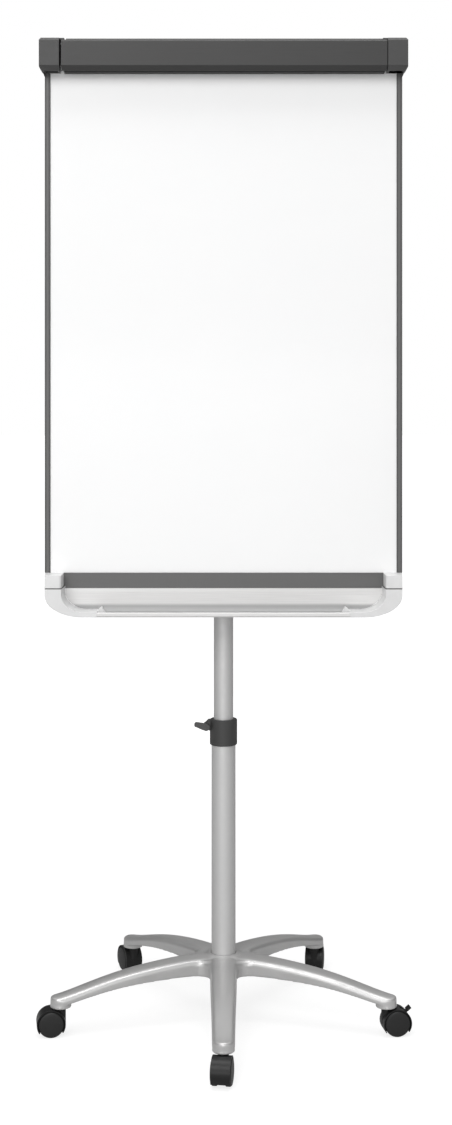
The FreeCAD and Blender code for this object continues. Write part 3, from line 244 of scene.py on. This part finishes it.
def anodised(name, tone, rough, stretch, metallic=0.35, cove_shade=None):
    """Drawn, anodised aluminium: fine streaks along the extrusion, and a band of painted shade round a
    line.
    """
    n = Nodes(name)
    streaks = n.noise(900, 3, stretch, 0.6)
    cloud = n.noise(7, 3)
    streaked = n.spread(streaks, 0, 1, 0.25, 0.75)
    base = n.tint(streaked, grey(tone * 0.88, 0.008), grey(tone * 1.12, 0.012))
    base = n.tint(n.spread(cloud, 0, 0.22), base, grey(tone * 1.25))
    base = n.tint(n.spread(n.edges(), 0, 0.5, 0, 1), base, grey(min(tone * 1.8, 0.9)))
    if cove_shade:
        # painted shade: darkens the cove behind the tray's lip, where shade falls
        cove_shade_mask = n.product(n.band(cove_shade.z, SHADE_HEIGHT), n.band(cove_shade.y, SHADE_DEPTH, "Y"))
        base = n.tint(cove_shade_mask, base, grey(tone * 0.55))
    n.link(base, "Base Color")
    n.set(metallic=metallic)
    n.link(n.spread(streaks, rough * 0.88, rough * 1.15), "Roughness")
    n.bump(streaks, 0.00001)
    return n.material


def moulded(name, tone, rough, grain=0.00003, warm=0.0, wear=0.35, seam_shade_z=None, gloss=0.5):
    """Moulded plastic: spark-eroded grain, cloudy tone, rubbed edges, a painted shade line along a joint
    at a height.
    """
    n = Nodes(name)
    cloud = n.spread(n.noise(24, 4), 0, 1)
    rubbed = grey(min(tone * 1.5 + 0.02, 0.95), warm)
    base = n.tint(cloud, grey(tone * 0.96, warm), grey(tone * 1.04, warm))
    base = n.tint(n.spread(n.edges(), 0, wear, 0, 1), base, rubbed)
    if seam_shade_z is not None:
        # painted shade: a dark line along the joint between two parts, where shade falls in the gap
        base = n.tint(n.band(seam_shade_z, SEAM_SHADE_HEIGHT), base, grey(tone * 0.12))
    n.link(base, "Base Color")
    n.link(n.spread(n.noise(90, 4), rough * 0.93, rough * 1.08), "Roughness")
    n.set(specular_ior_level=gloss)
    n.bump(n.noise(1500, 3, roughness=0.7), grain)
    return n.material


def enamel():
    """Glossy dry-erase enamel: nearly white, with the faintest wiped haze and a fine roll texture."""
    n = Nodes("white_enamel")
    haze = n.noise(5, 5, (1.0, 1.0, 2.2), 0.6)
    wipes = n.noise(38, 4, (0.35, 1.0, 1.6), 0.7)
    n.link(n.tint(n.spread(haze, 0, 1), (0.918, 0.919, 0.921), (0.926, 0.926, 0.926)), "Base Color")
    n.link(n.spread(wipes, 0.20, 0.27), "Roughness")
    n.set(coat_weight=0.25, coat_roughness=0.1)
    n.bump(n.noise(700, 2), 0.000004)
    n.bump(n.noise(14, 2), 0.00003)
    return n.material


def zinc():
    """Bright zinc plate with a slight bluish cast and dull patches."""
    n = Nodes("zinc_fastener")
    patches = n.spread(n.noise(260, 4), 0, 1)
    n.link(n.tint(patches, (0.50, 0.51, 0.54), (0.68, 0.68, 0.69)), "Base Color")
    n.link(n.spread(n.noise(500, 3), 0.22, 0.42), "Roughness")
    n.set(metallic=1.0)
    n.bump(n.noise(1800, 2), 0.00001)
    return n.material


def turned_steel():
    """Plain steel with the fine rings that a lathe leaves."""
    n = Nodes("pad_peg_metal")
    rings = n.noise(1500, 2, (0.2, 1, 0.2))
    n.link(n.tint(n.spread(rings, 0, 1), grey(0.48), grey(0.66)), "Base Color")
    n.link(n.spread(rings, 0.2, 0.34), "Roughness")
    n.set(metallic=1.0)
    n.bump(rings, 0.00001)
    return n.material


def honeycomb():
    """Brown paper filling, with its fibres along the cells."""
    n = Nodes("board_filling")
    fibres = n.noise(600, 4, (1, 1, 0.2))
    n.link(n.tint(n.spread(fibres, 0, 1), (0.50, 0.38, 0.25), (0.64, 0.52, 0.37)), "Base Color")
    n.link(n.spread(fibres, 0.75, 0.95), "Roughness")
    n.bump(fibres, 0.0001)
    return n.material


def ribbed_rubber():
    """Matt black rubber with a fine grain."""
    n = Nodes("black_rubber")
    grain = n.noise(900, 3)
    n.link(n.tint(n.spread(grain, 0, 1), grey(0.014), grey(0.026)), "Base Color")
    n.link(n.spread(grain, 0.62, 0.8), "Roughness")
    n.bump(grain, 0.00004)
    return n.material


LIP_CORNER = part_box("tray_trough")[0]
SEAM_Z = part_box("tray_end_left")[1].z
MATERIALS = {
    "silver_base": painted_silver("silver_base", 0.57, 0.55, 0.33, worn=(0.56, 0.72)),
    "silver_tube": painted_silver("silver_tube", 0.58, 0.55, 0.52, (1, 1, 0.15)),
    "graphite_rail": anodised("graphite_rail", 0.09, 0.42, (1, 1, 0.012)),
    "graphite_bar": anodised("graphite_bar", 0.045, 0.45, (0.012, 1, 1)),
    "graphite_plastic": moulded("graphite_plastic", 0.046, 0.5, warm=0.004),
    "graphite_lever": moulded("graphite_lever", 0.06, 0.32, 0.000015),
    "white_enamel": enamel(),
    "board_filling": honeycomb(),
    "back_sheet": anodised("back_sheet", 0.55, 0.45, (1, 1, 0.02), 0.5),
    "bracket_metal": painted_silver("bracket_metal", 0.10, 0.3, 0.42),
    # the tray carries a band of painted shade in the cove behind its lip
    "tray_silver": anodised("tray_silver", 0.65, 0.42, (0.012, 1, 1), 0.25,
                            cove_shade=LIP_CORNER + Vector(SHADE_FROM_LIP) * MM),
    # the tray ends carry a painted shade line at their joint with the corner blocks
    "tray_end_grey": moulded("tray_end_grey", 0.74, 0.4, 0.00002, wear=0.12, seam_shade_z=SEAM_Z),
    "caster_hood_black": moulded("caster_hood_black", 0.011, 0.36, 0.000025, gloss=0.32),
    "caster_wheel_black": moulded("caster_wheel_black", 0.014, 0.42, 0.00002, gloss=0.4),
    "black_plastic": moulded("black_plastic", 0.02, 0.5),
    "black_rubber": ribbed_rubber(),
    "pad_peg_metal": turned_steel(),
    "zinc_fastener": zinc(),
}


def dress_cad_nodes():
    for name, node in frame["nodes"].items():
        node.data.materials.clear()
        node.data.materials.append(MATERIALS[SLOT_OF[name]])


# ---- mesh helpers ----------------------------------------------------------------------

def add_piece(node, mesh):
    """Link a mesh as a piece of the object that stands for a CAD node."""
    piece = bpy.data.objects.new(node + "_body", mesh)
    bpy.context.scene.collection.objects.link(piece)
    mesh.materials.clear()
    mesh.materials.append(MATERIALS[SLOT_OF[node]])
    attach(piece, BODY_OF[node])
    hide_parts(node)


def applied(mesh, *modifiers):
    """A new mesh with modifiers applied, each given as its type and its settings."""
    holder = bpy.data.objects.new("holder", mesh)
    bpy.context.scene.collection.objects.link(holder)
    for kind, settings in modifiers:
        modifier = holder.modifiers.new(kind, kind)
        for name, value in settings.items():
            setattr(modifier, name, value)
    depsgraph = bpy.context.evaluated_depsgraph_get()
    depsgraph.update()
    result = bpy.data.meshes.new_from_object(holder.evaluated_get(depsgraph))
    bpy.data.objects.remove(holder)
    return result


def plain_copy(node, merge_flats=True):
    """The CAD node's faces as a fresh mesh, with joined corners and, if wanted, merged flats."""
    source = frame["nodes"][node].data
    mesh = bpy.data.meshes.new(node)
    mesh.from_pydata([v.co for v in source.vertices], [], [p.vertices for p in source.polygons])
    work = bmesh.new()
    work.from_mesh(mesh)
    bmesh.ops.remove_doubles(work, verts=work.verts, dist=0.01 * MM)
    if merge_flats:
        flat = math.radians(0.6)
        bmesh.ops.dissolve_limit(work, angle_limit=flat, verts=work.verts, edges=work.edges)
    work.to_mesh(mesh)
    work.free()
    return mesh


def refined(node, rounding):
    """A finished copy of a CAD node: rounded edges and clean shading, in the CAD's place."""
    mesh = applied(plain_copy(node), ("BEVEL", {
        "width": rounding * MM,
        "segments": ROUNDING_SEGMENTS,
        "limit_method": "ANGLE",
        "angle_limit": math.radians(ROUNDED_FROM_ANGLE),
        "use_clamp_overlap": True,
        "miter_outer": "MITER_ARC",
    }))
    mesh.shade_smooth()
    mesh.set_sharp_from_angle(angle=math.radians(SHARP_FROM_ANGLE))
    add_piece(node, applied(mesh, ("WEIGHTED_NORMAL", {"keep_sharp": True})))


def cast_copy(node, voxel, rounds):
    """A finished copy of a casting: every inside and outside corner softened. Worked in mm."""
    mesh = plain_copy(node, merge_flats=False)
    mesh.transform(Matrix.Scale(1 / MM, 4))
    mesh = applied(mesh,
                   ("REMESH", {"mode": "VOXEL", "voxel_size": voxel}),
                   ("SMOOTH", {"factor": 0.5, "iterations": rounds}))
    mesh.transform(Matrix.Scale(MM, 4))
    mesh.shade_smooth()
    add_piece(node, mesh)


# ---- the stage -------------------------------------------------------------------------

def add_floor():
    """A pale seamless floor that keeps only soft contact shadows, and none far from the object."""
    mesh = bpy.data.meshes.new("floor")
    work = bmesh.new()
    bmesh.ops.create_circle(work, cap_ends=True, radius=FLOOR_RADIUS, segments=96)
    work.to_mesh(mesh)
    work.free()
    floor = bpy.data.objects.new("floor", mesh)
    bpy.context.scene.collection.objects.link(floor)
    n = Nodes("floor_paint")
    n.link(n.tint(n.spread(n.noise(3, 3), 0, 1), grey(0.29), grey(0.30)), "Base Color")
    n.set(roughness=1.0, specular_ior_level=0.0)
    n.shader.inputs["Emission Color"].default_value = (1, 1, 1, 1)
    away = n.tree.nodes.new("ShaderNodeVectorMath")
    away.operation = "LENGTH"
    n.tree.links.new(n.coords, away.inputs[0])
    glow = n.spread(away.outputs["Value"], *FLOOR_GLOW, *FLOOR_GLOW_REACH)
    path = n.tree.nodes.new("ShaderNodeLightPath")
    share = n.spread(path.outputs["Is Camera Ray"], FLOOR_GLOW_ON_OBJECT, 1.0, 0.0, 1.0)
    n.link(n.product(glow, share), "Emission Strength")
    mesh.materials.append(n.material)


def add_world():
    """White to the camera; for light, bright in front and above, dark at the sides and behind."""
    world = bpy.data.worlds.new("studio")
    bpy.context.scene.world = world
    world.use_nodes = True
    tree = world.node_tree
    tree.nodes.clear()
    coords = tree.nodes.new("ShaderNodeTexCoord")
    split = tree.nodes.new("ShaderNodeSeparateXYZ")
    tree.links.new(coords.outputs["Generated"], split.inputs[0])

    def ramp(axis, start, end, bright):
        """Strength that rises from the dark sky's to a bright one as the direction turns."""
        node = tree.nodes.new("ShaderNodeMapRange")
        node.interpolation_type = "SMOOTHSTEP"
        node.inputs["From Min"].default_value = start
        node.inputs["From Max"].default_value = end
        node.inputs["To Min"].default_value = DARK_SKY
        node.inputs["To Max"].default_value = bright
        tree.links.new(split.outputs[axis], node.inputs["Value"])
        return node.outputs["Result"]

    brighter = tree.nodes.new("ShaderNodeMath")
    brighter.operation = "MAXIMUM"
    tree.links.new(ramp("Y", -0.3, -0.9, FRONT_SKY), brighter.inputs[0])
    tree.links.new(ramp("Z", 0.5, 0.95, TOP_SKY), brighter.inputs[1])
    light = tree.nodes.new("ShaderNodeBackground")
    tree.links.new(brighter.outputs[0], light.inputs["Strength"])
    seen = tree.nodes.new("ShaderNodeBackground")
    seen.inputs["Color"].default_value = (1, 1, 1, 1)
    path = tree.nodes.new("ShaderNodeLightPath")
    mix = tree.nodes.new("ShaderNodeMixShader")
    out = tree.nodes.new("ShaderNodeOutputWorld")
    tree.links.new(path.outputs["Is Camera Ray"], mix.inputs["Fac"])
    tree.links.new(light.outputs[0], mix.inputs[1])
    tree.links.new(seen.outputs[0], mix.inputs[2])
    tree.links.new(mix.outputs[0], out.inputs["Surface"])


def add_light(name, place, target, size, power):
    """A soft rectangular light that points at its target."""
    data = bpy.data.lights.new(name, "AREA")
    data.shape = "RECTANGLE"
    data.size, data.size_y = size
    data.energy = power
    light = bpy.data.objects.new(name, data)
    bpy.context.scene.collection.objects.link(light)
    light.location = place
    aim = Vector(target) - Vector(place)
    light.rotation_euler = aim.to_track_quat("-Z", "Y").to_euler()


# ---- build -----------------------------------------------------------------------------

add_camera()
dress_cad_nodes()
add_floor()
add_world()
for light_name, settings in LIGHTS.items():
    add_light(light_name, *settings)
bpy.context.scene.view_settings.view_transform = "Standard"

for node_name, width in EDGE_ROUNDING.items():
    refined(node_name, width)
for caster in CASTERS:
    refined("caster_hood_" + caster, HOOD_ROUNDING)
    for side in "ab":
        refined("caster_wheel_%s_%s" % (caster, side), WHEEL_ROUNDING)
cast_copy("base_star", STAR_VOXEL, STAR_SMOOTHING)
